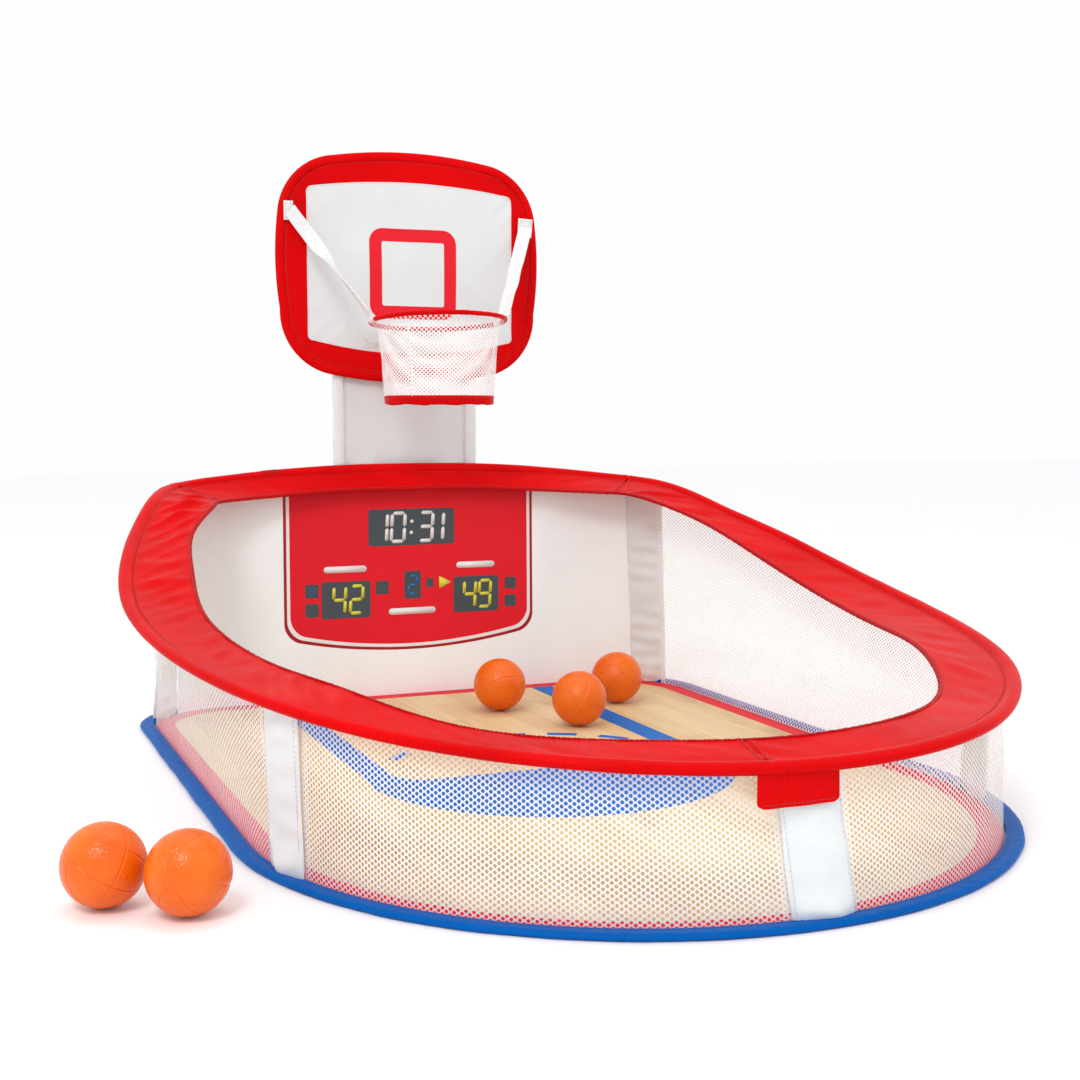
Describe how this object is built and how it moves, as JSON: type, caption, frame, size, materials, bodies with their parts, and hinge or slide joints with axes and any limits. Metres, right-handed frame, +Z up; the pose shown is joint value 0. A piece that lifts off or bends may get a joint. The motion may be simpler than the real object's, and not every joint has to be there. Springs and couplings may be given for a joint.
{
  "type": "basketball hoop ball pit",
  "caption": "Pop-up fabric play court with mesh walls, a tilted padded rim, a printed floor, and a rear tower with backboard, folding rim and net, with loose play balls.",
  "frame": {"origin": "on the floor plane, on the middle plane of the pit, midway between its front and back", "axes": "+Z up, back wall and backboard towards +Y, open half-round front towards -Y, +X to the right seen from the front"},
  "size_m": [1.0129, 1.1105, 0.7685],
  "materials": {
    "ball_plastic": "pebbled soft plastic",
    "mat_print": "printed polyester, wood planks",
    "blue_print": "printed polyester",
    "red_print": "printed polyester",
    "grey_print": "printed polyester",
    "blue_binding": "woven binding tape",
    "spring_steel": "flat spring wire",
    "white_fabric": "smooth coated polyester",
    "white_mesh": "knitted mesh with round holes",
    "pole_plastic": "glass-fibre rod",
    "cap_rubber": "moulded",
    "ferrule_metal": "tube",
    "hook_and_loop": "hook and loop pads",
    "red_fabric": "satin polyester",
    "white_webbing": "flat woven tape"
  },
  "bodies": {
    "court": {"back_wall": "white_fabric", "base_binding": "blue_binding", "base_hoop": "spring_steel", "board_border": "red_fabric", "board_hoop": "spring_steel", "board_pads": "hook_and_loop", "board_panel": "white_fabric", "flange_back": "red_fabric", "flange_binding": "red_fabric", "flange_left": "red_fabric", "flange_right": "red_fabric", "floor_mat": "mat_print", "front_mesh_left": "white_mesh", "front_mesh_right": "white_mesh", "front_tag": "red_fabric", "lane_print": "blue_print", "mat_border": "red_print", "pole_caps": "cap_rubber", "pole_sleeve_front": "white_fabric", "pole_sleeve_left": "white_fabric", "pole_sleeve_rear_left": "white_fabric", "pole_sleeve_rear_right": "white_fabric", "pole_sleeve_right": "white_fabric", "scoreboard_displays": "grey_print", "scoreboard_panel": "red_print", "side_mesh_left": "white_mesh", "side_mesh_right": "white_mesh", "strap_left": "white_webbing", "strap_right": "white_webbing", "target_square": "red_print", "top_hoop": "spring_steel", "tower_ferrules": "ferrule_metal", "tower_panel": "white_fabric", "tower_pockets": "white_fabric", "tower_poles_lower": "pole_plastic", "tower_poles_upper": "pole_plastic", "tower_sleeve_left": "white_fabric", "tower_sleeve_right": "white_fabric", "tower_ties": "hook_and_loop", "wall_pole_front": "pole_plastic", "wall_pole_left": "pole_plastic", "wall_pole_rear_left": "pole_plastic", "wall_pole_rear_right": "pole_plastic", "wall_pole_right": "pole_plastic"},
    "rim": {"rim_hoop": "spring_steel", "rim_sleeve": "red_fabric", "rim_tab": "white_fabric", "net": "white_mesh", "net_hem": "red_fabric"},
    "ball_1": {"ball_1": "ball_plastic"},
    "ball_2": {"ball_2": "ball_plastic"},
    "ball_3": {"ball_3": "ball_plastic"},
    "ball_4": {"ball_4": "ball_plastic"},
    "ball_5": {"ball_5": "ball_plastic"}
  },
  "joints": [
    {"name": "rim_fold", "type": "hinge", "parent": "court", "child": "rim", "pos_m": [0.005, 0.533, 0.5168], "axis": [-1, 0, 0], "range_deg": [0, 78], "deforming": ["strap_left", "strap_right"]},
    {"name": "ball_1_lift", "type": "slide", "parent": "court", "child": "ball_1", "axis": [0, 0, 1], "range_m": [0, 0.3]},
    {"name": "ball_2_lift", "type": "slide", "parent": "court", "child": "ball_2", "axis": [0, 0, 1], "range_m": [0, 0.3]},
    {"name": "ball_3_lift", "type": "slide", "parent": "court", "child": "ball_3", "axis": [0, 0, 1], "range_m": [0, 0.3]},
    {"name": "ball_4_lift", "type": "slide", "parent": "court", "child": "ball_4", "axis": [0, 0, 1], "range_m": [0, 0.3]},
    {"name": "ball_5_lift", "type": "slide", "parent": "court", "child": "ball_5", "axis": [0, 0, 1], "range_m": [0, 0.3]}
  ]
}
